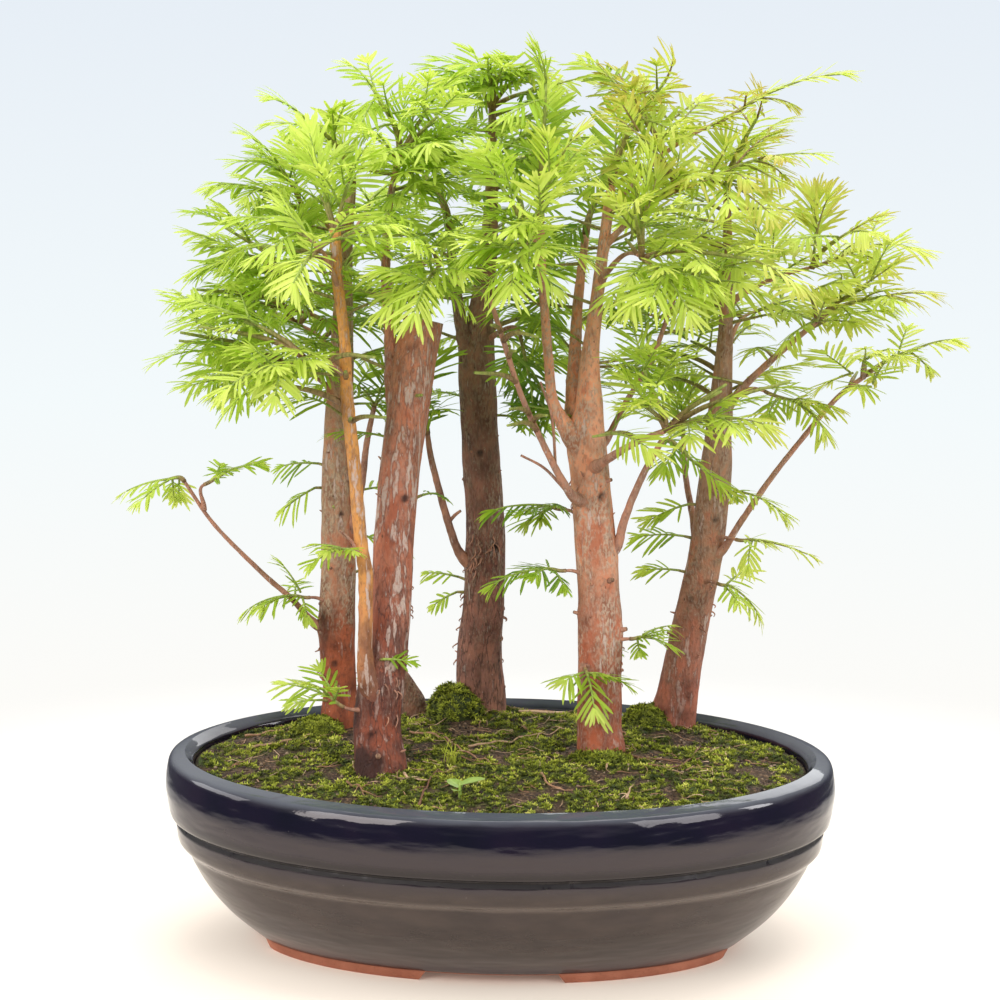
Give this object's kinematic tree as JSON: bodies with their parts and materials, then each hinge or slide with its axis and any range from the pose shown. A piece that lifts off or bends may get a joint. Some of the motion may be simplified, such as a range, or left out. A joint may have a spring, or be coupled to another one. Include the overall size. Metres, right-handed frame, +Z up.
{
  "type": "dawn redwood bonsai forest",
  "caption": "Dawn redwood bonsai forest of upright trunks with soft feathery foliage, moss and soil, in an oval glazed ceramic pot.",
  "frame": {"origin": "under the middle of the bounding box of the whole forest, on the surface that the pot stands on", "axes": "+Z up, +X along the pot towards its right end as the picture shows it, -Y towards the viewer"},
  "size_m": [0.3774, 0.2218, 0.4069],
  "materials": {
    "glaze": "very dark navy gloss glaze, with bare terracotta feet",
    "soil": "dark gritty soil",
    "screen": "matt black mesh",
    "bark": "rough red-brown stringy bark",
    "moss": "short bright green moss",
    "seedling": "soft green leaf",
    "needles": "soft satin yellow-green needles"
  },
  "bodies": {
    "root": {"pot": "glaze", "soil": "soil", "drain_screen_1": "screen", "drain_screen_2": "screen", "tree_1": "bark", "tree_2": "bark", "tree_3": "bark", "tree_4": "bark", "tree_5": "bark", "stump": "bark", "fallen_twig": "bark", "moss_tree_1": "moss", "moss_tree_3": "moss", "moss_tree_4": "moss", "moss_tree_5": "moss", "seedling": "seedling", "spray_01": "needles", "spray_02": "needles", "spray_03": "needles", "spray_04": "needles", "spray_05": "needles", "spray_06": "needles", "spray_07": "needles", "spray_08": "needles", "spray_09": "needles", "spray_10": "needles", "spray_11": "needles", "spray_12": "needles", "spray_13": "needles", "spray_14": "needles", "spray_15": "needles", "spray_16": "needles", "spray_17": "needles", "spray_18": "needles", "spray_19": "needles", "spray_20": "needles", "spray_21": "needles", "spray_22": "needles", "spray_23": "needles", "spray_24": "needles", "spray_25": "needles", "spray_26": "needles", "spray_27": "needles", "spray_28": "needles", "spray_29": "needles", "spray_30": "needles", "spray_31": "needles", "spray_32": "needles", "spray_33": "needles", "spray_34": "needles", "spray_35": "needles", "spray_36": "needles", "spray_37": "needles", "spray_38": "needles", "spray_39": "needles", "spray_40": "needles", "spray_41": "needles", "spray_42": "needles", "spray_43": "needles", "spray_44": "needles"}
  },
  "joints": []
}
